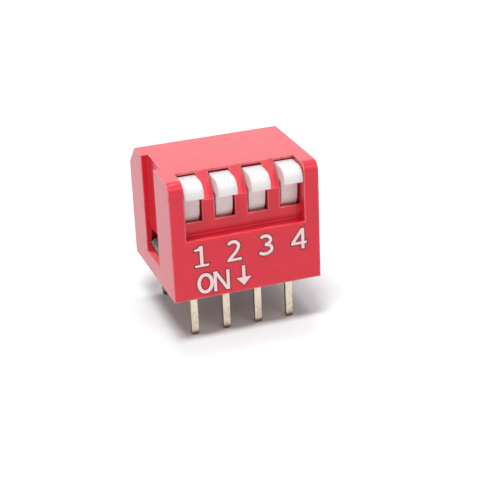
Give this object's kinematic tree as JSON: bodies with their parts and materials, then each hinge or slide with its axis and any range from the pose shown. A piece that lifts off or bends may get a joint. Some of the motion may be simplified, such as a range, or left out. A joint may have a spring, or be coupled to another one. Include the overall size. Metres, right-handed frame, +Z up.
{
  "type": "dip switch",
  "caption": "Piano-type DIP switch with rocking levers along its front top edge, for through-hole mounting on a circuit board.",
  "frame": {"origin": "on the circuit board's face, below the middle of the lever columns and midway between the two pin rows", "axes": "+X to the right along the lever row seen from the front, +Y from the levers towards the back, +Z up away from the board"},
  "size_m": [0.0116, 0.0104, 0.013],
  "materials": {
    "red_plastic": "satin moulded red PBT",
    "white_plastic": "satin moulded white nylon",
    "grey_plastic": "moulded grey-green glass-filled PBT",
    "epoxy": "cast sealing resin",
    "gold_plate": "thin bright plating on copper alloy strip",
    "spring_bronze": "rolled spring strip, plated"
  },
  "bodies": {
    "body": {"housing": "red_plastic", "base": "grey_plastic", "seal": "epoxy", "front_terminal_1": "gold_plate", "front_terminal_2": "gold_plate", "front_terminal_3": "gold_plate", "front_terminal_4": "gold_plate", "rear_terminal_1": "gold_plate", "rear_terminal_2": "gold_plate", "rear_terminal_3": "gold_plate", "rear_terminal_4": "gold_plate"},
    "lever_1": {"lever_1": "white_plastic", "clip_1": "spring_bronze"},
    "lever_2": {"lever_2": "white_plastic", "clip_2": "spring_bronze"},
    "lever_3": {"lever_3": "white_plastic", "clip_3": "spring_bronze"},
    "lever_4": {"lever_4": "white_plastic", "clip_4": "spring_bronze"}
  },
  "joints": [
    {"name": "lever_1_hinge", "type": "hinge", "parent": "body", "child": "lever_1", "pos_m": [-0.00381, -0.00256, 0.0069], "axis": [1, 0, 0], "range_deg": [0, 32]},
    {"name": "lever_2_hinge", "type": "hinge", "parent": "body", "child": "lever_2", "pos_m": [-0.00127, -0.00256, 0.0069], "axis": [1, 0, 0], "range_deg": [-1.5, 30.5]},
    {"name": "lever_3_hinge", "type": "hinge", "parent": "body", "child": "lever_3", "pos_m": [0.00127, -0.00256, 0.0069], "axis": [1, 0, 0], "range_deg": [-2, 30]},
    {"name": "lever_4_hinge", "type": "hinge", "parent": "body", "child": "lever_4", "pos_m": [0.00381, -0.00256, 0.0069], "axis": [1, 0, 0], "range_deg": [0, 32]}
  ]
}
